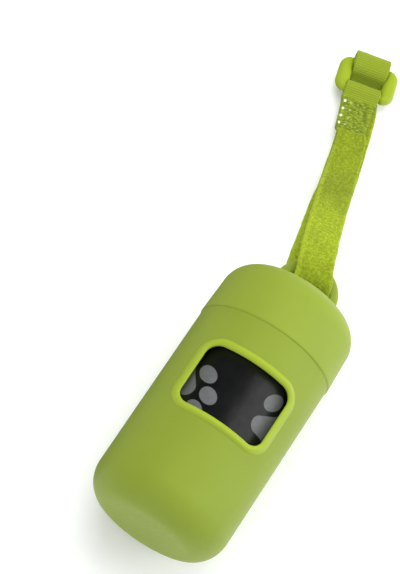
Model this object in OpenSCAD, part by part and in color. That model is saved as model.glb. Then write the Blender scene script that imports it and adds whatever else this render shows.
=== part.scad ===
// Waste-bag dispenser for a dog leash: a two-part capsule that lies on its back,
// window up. The capsule's axis runs along Y: base towards -Y, cap and strap towards +Y.

/* [Housing] */
// Outer diameter of the lower housing
housing_d = 41.4; // [38:0.1:42]
// Length of the housing from its base to the seam
housing_len = 61.6; // [58:0.2:70]
// Wall thickness of the housing and of the cap
wall = 1.8; // [1.6:0.1:2.0]
// Axial reach of the rounded base edge
base_round_len = 9.2; // [6:0.2:11]
// Diameter of the flat disc on the base
base_flat_d = 25; // [20:0.5:28]
// Length of the neck that the cap slides over
neck_len = 6; // [4:0.5:8]

/* [Cap] */
// Outer diameter of the cap at its rim
cap_d = 42; // [41.8:0.1:44]
// Outer diameter of the cap where its rounded edge starts
cap_top_d = 41.2; // [40.5:0.1:42]
// Length of the cap from the seam to its flat top
cap_len = 19.4; // [17:0.2:24]
// Axial reach of the cap's rounded edge
cap_round_len = 8.1; // [6:0.1:9]
// Diameter of the flat disc on the cap
cap_flat_d = 25.8; // [24:0.2:28]
// Radial play between the neck and the cap
neck_play = 0.05; // [0.03:0.01:0.1]

/* [Bail] */
// Outer radius of the bail's arch
bail_r = 10; // [9:0.1:11]
// Width of the bail's band, measured in the plane of the arch
bail_band = 2.5; // [2:0.1:2.8]
// Thickness of the bail's band
bail_t = 2.6; // [2:0.1:3]
// Height of the arch's centre over the cap's top
bail_rise = 2.75; // [2.5:0.05:3.5]

/* [Window] */
// Width of the window opening
window_w = 25.8; // [22:0.2:27]
// Length of the window opening along the capsule
window_len = 19.1; // [16:0.1:20]
// Distance from the seam to the near edge of the opening
window_from_seam = 11.9; // [11:0.1:14]
// Corner radius of the opening
window_r = 3.8; // [2:0.1:5]
// Width of the raised lip round the opening
lip_w = 2.35; // [2:0.05:2.6]
// Height of the lip over the housing's surface
lip_h = 0.8; // [0.5:0.05:0.8]
// Thickness of the trim's sleeve inside the opening
sleeve_t = 0.9; // [0.7:0.05:1.1]

/* [Bag roll] */
// Diameter of a full roll
roll_d = 36.6; // [26:0.2:36.8]
// Length of the roll
roll_len = 58; // [50:0.5:58]
// Outer diameter of the cardboard core
core_d = 14; // [12:0.5:16]
// Wall of the cardboard core
core_wall = 1.1; // [0.8:0.1:1.4]
// Thickness of the loose end of the first bag
film_t = 0.16; // [0.12:0.01:0.18]

/* [Strap] */
// Width of the webbing
strap_w = 10.4; // [10:0.1:10.5]
// Thickness of the webbing with its pile
strap_t = 1.1; // [1:0.05:1.1]
// Sideways turn of the strap from the capsule's axis, in degrees
strap_turn = 14.8; // [14:0.1:15.5]
// Side offset of the strap where it crosses the bail
strap_off = -1.9; // [-2.1:0.1:-1.5]
// Length of the hook patch on the strap's free end
hook_len = 26; // [20:0.5:27]
// Thickness of the hook patch
hook_t = 0.75; // [0.6:0.05:0.8]

/* [Strap ring] */
// Outer width of the ring, across the strap
ring_w = 18.6; // [18:0.1:20]
// Outer length of the ring, along the strap
ring_len = 12.4; // [12:0.1:12.6]
// Width of each side of the ring
ring_side = 4.0; // [2.8:0.1:4.0]
// Thickness of the sides
ring_side_t = 3.6; // [2.6:0.1:3.8]
// Diameter of the two cross bars
bar_d = 2.4; // [2:0.1:2.4]
// Tilt of the ring as it lies, in degrees
ring_tilt = 8; // [6:1:9]

/* [Hidden] */
$fn = 96;
eps = 0.01;

axis_z = cap_d / 2;                 // height of the capsule's axis over the surface
hr = housing_d / 2;
ir = 18.9;                          // radius of the bag space, the same all the way up
neck_r = 19.9;
seam_gap = 0.15;                    // the dark line between housing and cap
bail_y = cap_len + bail_rise + bail_r - bail_band / 2; // middle of the cross bar
roll_z = axis_z - (ir - roll_d / 2 - 0.35);            // the roll lies on the wall
roll_y0 = -housing_len + 6.8;                          // clear of the rounded base

// Where the strap lies, in its own plane: s along the strap from the bail, z up
bar_s = 65.0;                       // the ring bar that the welded end goes round
bar2_s = 9.1;                       // distance between the two bars
ring_z = 5.0;                       // height of the first bar
peel_s = 73.0;                      // where the free end can start to peel

// The box round the whole thing gives the origin: its centre, on the surface
ring_c = [bar_s + bar2_s / 2 * cos(ring_tilt), 0];
function on_floor(s, u) = [strap_off - s * sin(strap_turn) + u * cos(strap_turn),
                           bail_y + s * cos(strap_turn) + u * sin(strap_turn)];
x_low = on_floor(ring_c[0], -ring_w / 2 + 5)[0] - 5 - 0.3;
y_high = on_floor(78.55, 5.5)[1];
shift = [-(x_low + cap_d / 2) / 2, (housing_len - y_high) / 2, 0];

module place() { translate(shift) children(); }
// turns a shape drawn round Z so that it lies round the capsule's axis
module along_axis() { translate([0, 0, axis_z]) rotate([-90, 0, 0]) children(); }
// the strap's own frame: X across the strap, Y along it
module strap_frame() {
  translate([strap_off, bail_y, 0]) rotate([0, 0, strap_turn]) children();
}

// quarter ellipse from [r0, z0] on the side to [r1, z1] on the end, as points
function quarter(r0, z0, r1, z1, n = 10) =
  [for (i = [0:n]) let (a = 90 * i / n)
    [r1 + (r0 - r1) * cos(a), z0 + (z1 - z0) * sin(a)]];

// rounded rectangle, centred
module rounded(w, l, r) {
  square([w - 2 * r, l], center = true);
  square([w, l - 2 * r], center = true);
  for (x = [-1, 1], y = [-1, 1])
    translate([x * (w / 2 - r), y * (l / 2 - r)]) circle(r = r, $fn = 48);
}

// a prism through the top of the housing, centred on the window
module through_window(grow, z0 = 26, h = 20) {
  translate([0, -window_from_seam - window_len / 2, z0])
    linear_extrude(height = h)
      rounded(window_w + 2 * grow, window_len + 2 * grow, window_r + grow);
}

module housing() {
  color([0.44, 0.52, 0.07]) place() difference() {
    along_axis() rotate_extrude()
      polygon(concat(
        [[0, -housing_len]],
        [for (i = [10:-1:0]) quarter(hr, -housing_len + base_round_len, base_flat_d / 2, -housing_len)[i]],
        [[hr, 0], [neck_r, 0], [neck_r, neck_len], [ir, neck_len]],
        [for (i = [0:10]) quarter(ir, -housing_len + base_round_len, base_flat_d / 2, -housing_len + wall)[i]],
        [[0, -housing_len + wall]]));
    through_window(sleeve_t);
  }
}

module window_trim() {
  color([0.52, 0.64, 0.06]) place() difference() {
    union() {
      // sleeve that lines the opening
      intersection() {
        through_window(sleeve_t);
        along_axis() difference() {
          translate([0, 0, -housing_len + 12]) cylinder(r = hr + 0.3, h = 45);
          translate([0, 0, -housing_len + 11]) cylinder(r = ir + 0.05, h = 47);
        }
      }
      // broad foot of the lip, then its crown
      intersection() {
        through_window(lip_w);
        along_axis() difference() {
          translate([0, 0, -housing_len + 12]) cylinder(r = hr + lip_h * 0.55, h = 45);
          translate([0, 0, -housing_len + 11]) cylinder(r = hr, h = 47);
        }
      }
      intersection() {
        through_window(lip_w - 0.55);
        along_axis() difference() {
          translate([0, 0, -housing_len + 12]) cylinder(r = hr + lip_h, h = 45);
          translate([0, 0, -housing_len + 11]) cylinder(r = hr, h = 47);
        }
      }
    }
    through_window(0, 20, 30);
  }
}

module bail() {
  h = bail_t / 2; k = 0.55;
  band = [[bail_r - bail_band + k, -h], [bail_r - k, -h], [bail_r, -h + k], [bail_r, h - k],
          [bail_r - k, h], [bail_r - bail_band + k, h], [bail_r - bail_band, h - k],
          [bail_r - bail_band, -h + k]];
  translate([0, cap_len + bail_rise, axis_z]) {
    rotate_extrude(angle = 180) polygon(band);
    for (m = [0, 1]) mirror([m, 0, 0])
      rotate([90, 0, 0]) linear_extrude(height = bail_rise + 0.8) polygon(band);
  }
}

module cap() {
  color([0.44, 0.52, 0.07]) place() {
    along_axis() rotate_extrude()
      polygon(concat(
        [[neck_r + neck_play, seam_gap], [cap_d / 2, seam_gap]],
        quarter(cap_top_d / 2, cap_len - cap_round_len, cap_flat_d / 2, cap_len),
        [[0, cap_len], [0, cap_len - wall]],
        [for (i = [10:-1:0]) quarter(ir, cap_len - cap_round_len, cap_flat_d / 2 - 0.6, cap_len - wall)[i]],
        [[ir, neck_len + 0.4], [neck_r + neck_play, neck_len + 0.4]]));
    bail();
  }
}

module roll_core() {
  color([0.55, 0.44, 0.30]) place()
    translate([0, roll_y0, roll_z]) rotate([-90, 0, 0]) difference() {
      cylinder(d = core_d, h = roll_len);
      translate([0, 0, -1]) cylinder(d = core_d - 2 * core_wall, h = roll_len + 2);
    }
}

module bag_roll() {
  color([0.03, 0.03, 0.035]) place()
    translate([0, roll_y0 + 0.5, roll_z]) rotate([-90, 0, 0]) difference() {
      cylinder(d = roll_d, h = roll_len - 1);
      translate([0, 0, -1]) cylinder(d = core_d, h = roll_len + 2);
    }
}

// loose end of the first bag, lying on the roll out of the window's sight
module bag_end() {
  color([0.04, 0.04, 0.045]) place()
    translate([0, roll_y0 + 2, roll_z]) rotate([-90, 0, 0])
      rotate([0, 0, -35]) rotate_extrude(angle = 55)
        translate([roll_d / 2 + 0.04, 0]) square([film_t, roll_len - 4]);
}

// ---- the strap's side view ----

// Catmull-Rom curve through the points p, k steps to each span
function cr(a, b, c, d, t) = 0.5 * (2 * b + (c - a) * t + (2 * a - 5 * b + 4 * c - d) * t * t
                                    + (3 * b - a - 3 * c + d) * t * t * t);
function curve(p, k = 3) = let (n = len(p)) concat(
  [for (i = [0:n - 2], j = [0:k - 1])
    cr(p[max(i - 1, 0)], p[i], p[i + 1], p[min(i + 2, n - 1)], j / k)], [p[n - 1]]);
function dir(p, i) = let (d = p[min(i + 1, len(p) - 1)] - p[max(i - 1, 0)]) d / norm(d);
// a strip of thickness t along the curve p
function strip(p, t) = concat(
  [for (i = [0:len(p) - 1]) let (d = dir(p, i)) p[i] + t / 2 * [-d[1], d[0]]],
  [for (i = [len(p) - 1:-1:0]) let (d = dir(p, i)) p[i] - t / 2 * [-d[1], d[0]]]);
function arc(c, r, a0, a1, n) = [for (i = [0:n]) let (a = a0 + (a1 - a0) * i / n)
                                   c + r * [cos(a), sin(a)]];

wrap_r = bar_d / 2 + 0.25 + strap_t / 2;
// the turned-back end, under the front layer, to where the wrap starts
turned = [[51, 3.75], [55, 3.72], [59, 3.55], [62, 3.2]];
front = [[62.6, 6.15], [60, 5.35], [56, 5.0], [50, 5.1], [44, 6.0], [36, 8.6], [28, 12.2],
         [20, 16.2], [12, 20.2], [6, 23.2], [1, 25.1], [-3, 25.7]];
fold_c = [-5.0, axis_z];            // the strap turns back here, inside the bail
back = [[-3, 16.6], [0, 16.1], [5, 14.6], [12, 11.2], [20, 7.0], [28, 3.9], [34, 2.7], [40, 2.5],
        [50, 2.5], [57, 2.4], [61, 1.9], [65, 1.75], [68, 2.3], [69.8, 3.9], [70.9, 5.8],
        [72.4, 6.95], [74.2, 7.15], [76, 6.75]];
fold2 = [[77.5, 5.6], [78.0, 3.85], [77.5, 2.1], [76.2, 0.95], [74.6, 0.55]];

strap_line = concat(
  curve(turned),
  arc([bar_s, ring_z], wrap_r, -100, 115, 14),
  curve(front),
  arc(fold_c, 4.5, 100, 260, 10),
  curve(back),
  curve(fold2),
  [[peel_s + 0.25, strap_t / 2]]);

module side_view_solid(pts, w) {
  translate([-w / 2, 0, 0]) rotate([90, 0, 90]) linear_extrude(height = w) polygon(pts);
}

module strap_webbing() {
  color([0.40, 0.50, 0.03]) place() strap_frame()
    side_view_solid(strip(strap_line, strap_t), strap_w);
}

module strap_tail() {
  color([0.38, 0.47, 0.04]) place() strap_frame()
    translate([-strap_w / 2, peel_s - 43, 0]) cube([strap_w, 43 - 0.25, strap_t]);
}

module hook_patch() {
  color([0.34, 0.42, 0.05]) place() strap_frame()
    translate([-strap_w / 2 + 0.4, peel_s - 42, strap_t]) cube([strap_w - 0.8, hook_len, hook_t]);
}

module strap_ring() {
  color([0.45, 0.55, 0.05]) place() strap_frame()
    translate([0, bar_s, ring_z]) rotate([-ring_tilt, 0, 0]) {
      for (s = [0, bar2_s]) translate([-ring_w / 2 + 1.2, s, 0]) rotate([0, 90, 0])
        cylinder(d = bar_d, h = ring_w - 2.4, $fn = 48);
      difference() {
        translate([0, bar2_s / 2, -ring_side_t / 2]) linear_extrude(height = ring_side_t)
          rounded(ring_w, ring_len, 5);
        translate([-ring_w / 2 + ring_side, -10, -5]) cube([ring_w - 2 * ring_side, 30, 10]);
      }
    }
}

housing();
window_trim();
cap();
roll_core();
bag_roll();
bag_end();
strap_webbing();
strap_ring();
strap_tail();
hook_patch();
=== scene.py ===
import bpy
import math
import numpy as np
from mathutils import Matrix, Vector


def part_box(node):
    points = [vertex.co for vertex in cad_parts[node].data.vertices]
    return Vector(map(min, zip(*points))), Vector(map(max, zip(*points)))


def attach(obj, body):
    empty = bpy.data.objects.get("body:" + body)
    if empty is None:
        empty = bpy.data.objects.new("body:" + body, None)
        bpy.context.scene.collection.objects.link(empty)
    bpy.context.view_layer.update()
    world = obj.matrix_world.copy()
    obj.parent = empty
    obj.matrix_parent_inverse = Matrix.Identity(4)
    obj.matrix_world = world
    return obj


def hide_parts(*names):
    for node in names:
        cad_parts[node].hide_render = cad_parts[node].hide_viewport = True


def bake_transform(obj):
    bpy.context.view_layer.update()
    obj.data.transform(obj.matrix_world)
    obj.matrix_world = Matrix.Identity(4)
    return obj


# Waste-bag dispenser for a dog leash, lying on its back with the window up.
# All shapes are worked out in millimetres, measured from the seam between housing and
# cap: x across, y along the capsule (base towards -y), z up from the surface it lies on.

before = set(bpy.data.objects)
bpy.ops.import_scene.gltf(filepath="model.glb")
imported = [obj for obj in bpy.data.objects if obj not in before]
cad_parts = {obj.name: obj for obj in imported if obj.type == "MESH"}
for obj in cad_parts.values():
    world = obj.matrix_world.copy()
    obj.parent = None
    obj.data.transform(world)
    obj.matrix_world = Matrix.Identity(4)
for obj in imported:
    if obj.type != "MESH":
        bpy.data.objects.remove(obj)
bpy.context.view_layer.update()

cap_box, housing_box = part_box("cap"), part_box("housing")
AX = (cap_box[0].x + cap_box[1].x) * 500.0      # the capsule's axis in the frame, mm
SEAM = housing_box[0].y * 1000.0 + 61.6         # the seam in the frame, mm
AZ = 21.0                                       # height of the axis
RB, RC = 20.7, 21.0                             # outer radius of body and of cap rim
IR, NECK = 18.9, 19.9
rng = np.random.default_rng(7)


def to_frame(p):
    p = np.asarray(p, float)
    return (p + np.array([AX, SEAM, 0.0])) * 0.001


# ---------------------------------------------------------------- camera

def make_camera():
    data = bpy.data.cameras.new("camera")
    cam = bpy.data.objects.new("camera", data)
    bpy.context.scene.collection.objects.link(cam)
    data.sensor_width = 36.0
    data.lens = 2274.37 * 36.0 / 574.0
    data.clip_start, data.clip_end = 0.02, 20.0
    right = Vector((0.83085, 0.52921, 0.17213))
    up = Vector((-0.55513, 0.76644, 0.32311))
    back = Vector((0.03906, -0.36401, 0.93057))
    place = to_frame([-0.026, -227.184, 616.735])
    m = Matrix((
        (right.x, up.x, back.x, place[0]),
        (right.y, up.y, back.y, place[1]),
        (right.z, up.z, back.z, place[2]),
        (0, 0, 0, 1)))
    cam.matrix_world = m
    bpy.context.scene.camera = cam
    return cam


# ---------------------------------------------------------------- mesh helpers

def mesh_object(name, verts, faces, smooth=True, attrs=None, sharp_deg=None):
    me = bpy.data.meshes.new(name)
    me.from_pydata([tuple(v) for v in to_frame(verts)], [], [tuple(int(i) for i in f) for f in faces])
    me.validate(verbose=False)
    me.update()
    if smooth:
        me.polygons.foreach_set("use_smooth", np.ones(len(me.polygons), bool))
    for key, values in (attrs or {}).items():
        values = np.asarray(values, np.float32)
        a = me.attributes.new(key, "FLOAT_VECTOR" if values.ndim == 2 else "FLOAT", "POINT")
        a.data.foreach_set("vector" if values.ndim == 2 else "value", values.ravel())
    ob = bpy.data.objects.new(name, me)
    bpy.context.scene.collection.objects.link(ob)
    if sharp_deg is not None:
        mark_sharp(ob, sharp_deg)
    return ob


def mark_sharp(ob, degrees):
    """edges with a bend over this angle are drawn hard"""
    import bmesh
    bm = bmesh.new()
    bm.from_mesh(ob.data)
    bmesh.ops.recalc_face_normals(bm, faces=bm.faces)
    lim = math.radians(degrees)
    for e in bm.edges:
        e.smooth = not (len(e.link_faces) == 2 and e.calc_face_angle(0.0) > lim)
    bm.to_mesh(ob.data)
    bm.free()


def outward(ob):
    import bmesh
    bm = bmesh.new()
    bm.from_mesh(ob.data)
    bmesh.ops.recalc_face_normals(bm, faces=bm.faces)
    bm.to_mesh(ob.data)
    bm.free()


def merge_close(ob, dist=2e-6):
    import bmesh
    bm = bmesh.new()
    bm.from_mesh(ob.data)
    bmesh.ops.remove_doubles(bm, verts=bm.verts, dist=dist)
    bmesh.ops.dissolve_degenerate(bm, edges=bm.edges, dist=dist)
    bm.to_mesh(ob.data)
    bm.free()


def join_parts(parts):
    """list of (verts, faces) or (verts, faces, attr dict) into one"""
    verts, faces, base, attrs = [], [], 0, {}
    for p in parts:
        v = np.asarray(p[0], float)
        verts.append(v)
        faces.extend([[i + base for i in f] for f in p[1]])
        if len(p) > 2:
            for k, a in p[2].items():
                attrs.setdefault(k, []).append(np.asarray(a, float))
        base += len(v)
    return np.vstack(verts), faces, {k: np.concatenate(a) for k, a in attrs.items()}


def grid_faces(rows, cols, wrap=True, base=0):
    """quads of a grid of rows x cols points"""
    out = []
    for i in range(rows - 1):
        for j in range(cols if wrap else cols - 1):
            k = (j + 1) % cols
            out.append((base + i * cols + j, base + i * cols + k,
                        base + (i + 1) * cols + k, base + (i + 1) * cols + j))
    return out


def catmull(pts, n):
    """smooth curve through pts, n steps to each span"""
    p = np.asarray(pts, float)
    out = []
    for i in range(len(p) - 1):
        a, b, c, d = p[max(i - 1, 0)], p[i], p[i + 1], p[min(i + 2, len(p) - 1)]
        for j in range(n):
            t = j / n
            out.append(0.5 * (2 * b + (c - a) * t + (2 * a - 5 * b + 4 * c - d) * t * t
                              + (3 * b - a - 3 * c + d) * t ** 3))
    out.append(p[-1])
    return np.array(out)


def resample(pts, step):
    p = np.asarray(pts, float)
    seg = np.linalg.norm(np.diff(p, axis=0), axis=1)
    at = np.concatenate([[0], np.cumsum(seg)])
    n = max(2, int(round(at[-1] / step)) + 1)
    s = np.linspace(0, at[-1], n)
    return np.stack([np.interp(s, at, p[:, k]) for k in range(p.shape[1])], 1), s


def smooth01(x, a, b):
    t = np.clip((np.asarray(x, float) - a) / (b - a), 0, 1)
    return t * t * (3 - 2 * t)


def noise3(p, scale, seed=0):
    """cheap smooth value noise at points p, -1 to 1"""
    p = np.asarray(p, float) / scale + 37.13 * (seed + 1)
    i = np.floor(p).astype(np.int64)
    f = p - i
    f = f * f * (3 - 2 * f)

    def h(ix, iy, iz):
        n = (ix * 374761393 + iy * 668265263 + iz * 2147483647 + seed * 974711) & 0xFFFFFFFF
        n = ((n ^ (n >> 13)) * 1274126177) & 0xFFFFFFFF
        n = n ^ (n >> 16)
        return (n & 0xFFFF) / 32767.5 - 1.0

    def lerp(a, b, t):
        return a + (b - a) * t
    x, y, z = i[:, 0], i[:, 1], i[:, 2]
    c = [[[h(x + a, y + b, z + d) for d in (0, 1)] for b in (0, 1)] for a in (0, 1)]
    fx, fy, fz = f[:, 0], f[:, 1], f[:, 2]
    return lerp(lerp(lerp(c[0][0][0], c[0][0][1], fz), lerp(c[0][1][0], c[0][1][1], fz), fy),
                lerp(lerp(c[1][0][0], c[1][0][1], fz), lerp(c[1][1][0], c[1][1][1], fz), fy), fx)


def ellipse_quarter(r0, y0, r1, y1, n):
    return [(r1 + (r0 - r1) * math.cos(a), y0 + (y1 - y0) * math.sin(a))
            for a in np.linspace(0, math.pi / 2, n + 1)]


def fillet(r, y, rad, a0, a1, n=5):
    return [(r + rad * math.cos(math.radians(a)), y + rad * math.sin(math.radians(a)))
            for a in np.linspace(a0, a1, n + 1)]


# ---------------------------------------------------------------- node materials

def new_material(name):
    m = bpy.data.materials.new(name)
    m.use_nodes = True
    nt = m.node_tree
    nt.nodes.clear()
    out = nt.nodes.new("ShaderNodeOutputMaterial")
    b = nt.nodes.new("ShaderNodeBsdfPrincipled")
    nt.links.new(b.outputs["BSDF"], out.inputs["Surface"])
    return m, nt, b


def node(nt, kind, **kw):
    n = nt.nodes.new(kind)
    for k, v in kw.items():
        setattr(n, k, v)
    return n


def math_node(nt, op, a, b=None, c=None, clamp=False):
    n = node(nt, "ShaderNodeMath", operation=op, use_clamp=clamp)
    for i, v in enumerate((a, b, c)):
        if v is None:
            continue
        if isinstance(v, (int, float)):
            n.inputs[i].default_value = v
        else:
            nt.links.new(v, n.inputs[i])
    return n.outputs[0]


def vec_math(nt, op, a, b=None):
    n = node(nt, "ShaderNodeVectorMath", operation=op)
    for i, v in enumerate((a, b)):
        if v is None:
            continue
        if isinstance(v, (tuple, list)):
            n.inputs[i].default_value = v
        else:
            nt.links.new(v, n.inputs[i])
    return n


def noise_node(nt, vector, scale, detail=2.0, rough=0.5, distortion=0.0):
    n = node(nt, "ShaderNodeTexNoise")
    n.inputs["Scale"].default_value = scale
    n.inputs["Detail"].default_value = detail
    n.inputs["Roughness"].default_value = rough
    n.inputs["Distortion"].default_value = distortion
    nt.links.new(vector, n.inputs["Vector"])
    return n.outputs["Fac"]


def map_range(nt, value, a, b, lo, hi, smooth=False):
    n = node(nt, "ShaderNodeMapRange", interpolation_type="SMOOTHSTEP" if smooth else "LINEAR")
    nt.links.new(value, n.inputs["Value"])
    for k, v in (("From Min", a), ("From Max", b), ("To Min", lo), ("To Max", hi)):
        n.inputs[k].default_value = v
    return n.outputs["Result"]


def mix_colour(nt, fac, a, b):
    n = node(nt, "ShaderNodeMix", data_type="RGBA")
    for s, v in ((0, fac), (6, a), (7, b)):
        if isinstance(v, (int, float)):
            n.inputs[s].default_value = v
        elif isinstance(v, tuple):
            n.inputs[s].default_value = (*v, 1.0) if len(v) == 3 else v
        else:
            nt.links.new(v, n.inputs[s])
    return n.outputs[2]


def bump(nt, height, distance, strength=1.0, normal=None):
    n = node(nt, "ShaderNodeBump")
    n.inputs["Strength"].default_value = strength
    n.inputs["Distance"].default_value = distance
    nt.links.new(height, n.inputs["Height"])
    if normal is not None:
        nt.links.new(normal, n.inputs["Normal"])
    return n.outputs["Normal"]


def object_coords(nt):
    return node(nt, "ShaderNodeTexCoord").outputs["Object"]


def attribute(nt, name):
    return node(nt, "ShaderNodeAttribute", attribute_name=name, attribute_type="GEOMETRY")


def plastic(name, colour, deep, rough=0.50, grain=0.00003, sheen=0.03, spec=0.26, skirt=None):
    """soft-touch moulded plastic: a fine spark-eroded grain, slight tone drift, pale grazing edges"""
    m, nt, b = new_material(name)
    co = object_coords(nt)
    drift = noise_node(nt, co, 55.0, 3.0, 0.55)
    fine = noise_node(nt, co, 3800.0, 2.0, 0.6)
    t = map_range(nt, drift, 0.3, 0.7, 0.0, 1.0, True)
    base = mix_colour(nt, t, colour, deep)
    speck = map_range(nt, fine, 0.35, 0.75, 0.0, 0.06)
    base = mix_colour(nt, speck, base, tuple(min(1.0, c * 1.35 + 0.01) for c in colour))
    if skirt is not None:                               # the lip's outer slope runs out into the shell
        base = mix_colour(nt, attribute(nt, "crest").outputs["Fac"], skirt, base)
    nt.links.new(base, b.inputs["Base Color"])
    b.inputs["Specular IOR Level"].default_value = spec
    nt.links.new(map_range(nt, noise_node(nt, co, 900.0, 3.0, 0.6), 0.3, 0.7, rough - 0.05, rough + 0.06),
                 b.inputs["Roughness"])
    n1 = bump(nt, fine, grain, 0.55)
    n2 = bump(nt, noise_node(nt, co, 320.0, 2.0, 0.5), 0.00004, 0.25, n1)
    nt.links.new(n2, b.inputs["Normal"])
    b.inputs["IOR"].default_value = 1.46
    b.inputs["Sheen Weight"].default_value = sheen
    b.inputs["Sheen Roughness"].default_value = 0.45
    b.inputs["Sheen Tint"].default_value = (0.92, 1.0, 0.72, 1.0)
    return m


def film_material():
    """thin black bag film with grey paw prints, mapped round the roll in millimetres"""
    m, nt, b = new_material("bag_film")
    at = attribute(nt, "wound").outputs["Vector"]        # x: round the roll, y: along it
    sep = node(nt, "ShaderNodeSeparateXYZ")
    nt.links.new(at, sep.inputs[0])
    u, v = sep.outputs[0], sep.outputs[1]
    # the print repeats twice round the roll, and every other row is shifted half a repeat
    pu, pv = 2 * math.pi * ROLL_R / 2, 26.0
    cv = math_node(nt, "DIVIDE", math_node(nt, "ADD", v, 36.0), pv)
    row = math_node(nt, "FLOOR", cv)
    cu = math_node(nt, "ADD", math_node(nt, "DIVIDE", u, pu), math_node(nt, "MULTIPLY", row, 0.5))
    cu = math_node(nt, "ADD", cu, 100.5)
    fu = math_node(nt, "MULTIPLY", math_node(nt, "SUBTRACT", math_node(nt, "FRACT", cu), 0.5), pu)
    fv = math_node(nt, "SUBTRACT", math_node(nt, "MULTIPLY", math_node(nt, "FRACT", cv), pv), 36.0)
    comb = node(nt, "ShaderNodeCombineXYZ")
    nt.links.new(fu, comb.inputs[0])
    nt.links.new(fv, comb.inputs[1])
    wob = node(nt, "ShaderNodeTexNoise")
    wob.inputs["Scale"].default_value = 0.7
    nt.links.new(comb.outputs[0], wob.inputs["Vector"])
    soft = vec_math(nt, "MULTIPLY", vec_math(nt, "SUBTRACT", wob.outputs["Color"], (0.5, 0.5, 0.5)).outputs[0], (0.12, 0.12, 0.0))
    p = vec_math(nt, "ADD", comb.outputs[0], soft.outputs[0]).outputs[0]

    def toe(x, y, a, c, deg):
        mp = node(nt, "ShaderNodeMapping", vector_type="TEXTURE")
        mp.inputs["Location"].default_value = (x, y, 0)
        mp.inputs["Rotation"].default_value = (0, 0, math.radians(deg))
        mp.inputs["Scale"].default_value = (a, c, 1.0)
        nt.links.new(p, mp.inputs["Vector"])
        d = vec_math(nt, "LENGTH", mp.outputs["Vector"]).outputs["Value"]
        return math_node(nt, "MULTIPLY", math_node(nt, "SUBTRACT", d, 1.0), 0.5 * (a + c))

    def bar(a, c, r):
        """distance to the rounded bar from a to c"""
        ba = (c[0] - a[0], c[1] - a[1], 0.0)
        pa = vec_math(nt, "SUBTRACT", p, (a[0], a[1], 0.0)).outputs[0]
        h = math_node(nt, "DIVIDE", vec_math(nt, "DOT_PRODUCT", pa, ba).outputs["Value"], ba[0] ** 2 + ba[1] ** 2, clamp=True)
        sc = node(nt, "ShaderNodeVectorMath", operation="SCALE")
        sc.inputs[0].default_value = ba
        nt.links.new(h, sc.inputs["Scale"])
        d = vec_math(nt, "LENGTH", vec_math(nt, "SUBTRACT", pa, sc.outputs[0]).outputs[0]).outputs["Value"]
        return math_node(nt, "SUBTRACT", d, r)

    # two paws, turned differently: four toes and a three-lobed pad each
    shapes = [toe(-9.6, -19.95, 3.3, 2.25, -28), toe(-6.05, -25.6, 2.96, 2.28, -28),
              toe(-7.6, -30.8, 2.95, 2.3, -32), toe(-15.2, -32.1, 3.0, 2.25, -30),
              toe(10.7, -16.2, 3.45, 2.35, 47), toe(18.8, -14.2, 3.1, 2.3, 74),
              toe(23.6, -19.0, 2.9, 2.25, 8), toe(22.7, -26.2, 2.9, 2.25, -34)]
    for l1, l2, l3, r in (((-13.0, -25.7), (-16.5, -21.0), (-18.9, -25.8), 2.5),
                          ((10.4, -23.85), (15.8, -20.3), (16.8, -24.1), 2.5)):
        shapes += [bar(l1, l2, r), bar(l1, l3, r), bar(l2, l3, r)]
    d = shapes[0]
    for q in shapes[1:]:
        d = math_node(nt, "SMOOTH_MIN", d, q, 0.25)
    ink = map_range(nt, d, -0.07, 0.07, 1.0, 0.0, True)
    co = object_coords(nt)
    patch = noise_node(nt, co, 700.0, 3.0, 0.6)
    grey = mix_colour(nt, map_range(nt, patch, 0.3, 0.7, 0.0, 1.0), (0.112, 0.115, 0.117), (0.136, 0.140, 0.142))
    black = mix_colour(nt, map_range(nt, noise_node(nt, co, 240.0, 2.0, 0.5), 0.3, 0.7, 0.0, 1.0),
                       (0.0042, 0.0042, 0.0046), (0.0062, 0.0062, 0.0068))
    nt.links.new(mix_colour(nt, ink, black, grey), b.inputs["Base Color"])
    rough = math_node(nt, "ADD", map_range(nt, noise_node(nt, co, 500.0, 3.0, 0.6), 0.3, 0.7, 0.34, 0.42),
                      math_node(nt, "MULTIPLY", ink, 0.08))
    nt.links.new(rough, b.inputs["Roughness"])
    # film stretched over many windings: faint creases along the roll
    stretch = node(nt, "ShaderNodeMapping")
    stretch.inputs["Scale"].default_value = (1.0, 0.09, 1.0)
    nt.links.new(at, stretch.inputs["Vector"])
    n1 = bump(nt, noise_node(nt, stretch.outputs["Vector"], 0.8, 2.0, 0.5, 0.4), 0.00010, 0.22)
    n2 = bump(nt, ink, 0.00002, 0.5, n1)
    nt.links.new(n2, b.inputs["Normal"])
    b.inputs["IOR"].default_value = 1.46
    b.inputs["Specular IOR Level"].default_value = 0.85
    return m


def roll_end_material():
    """edges of many folded film layers"""
    m, nt, b = new_material("film_edges")
    at = attribute(nt, "wound").outputs["Vector"]
    sep = node(nt, "ShaderNodeSeparateXYZ")
    nt.links.new(at, sep.inputs[0])
    rad = sep.outputs[2]
    line = noise_node(nt, vec_math(nt, "MULTIPLY", at, (0.02, 0.2, 9.0)).outputs[0], 1.0, 3.0, 0.65)
    nt.links.new(mix_colour(nt, map_range(nt, line, 0.35, 0.7, 0.0, 1.0), (0.008, 0.008, 0.009), (0.030, 0.030, 0.032)),
                 b.inputs["Base Color"])
    b.inputs["Roughness"].default_value = 0.48
    nt.links.new(bump(nt, line, 0.00025, 0.8), b.inputs["Normal"])
    return m


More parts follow.
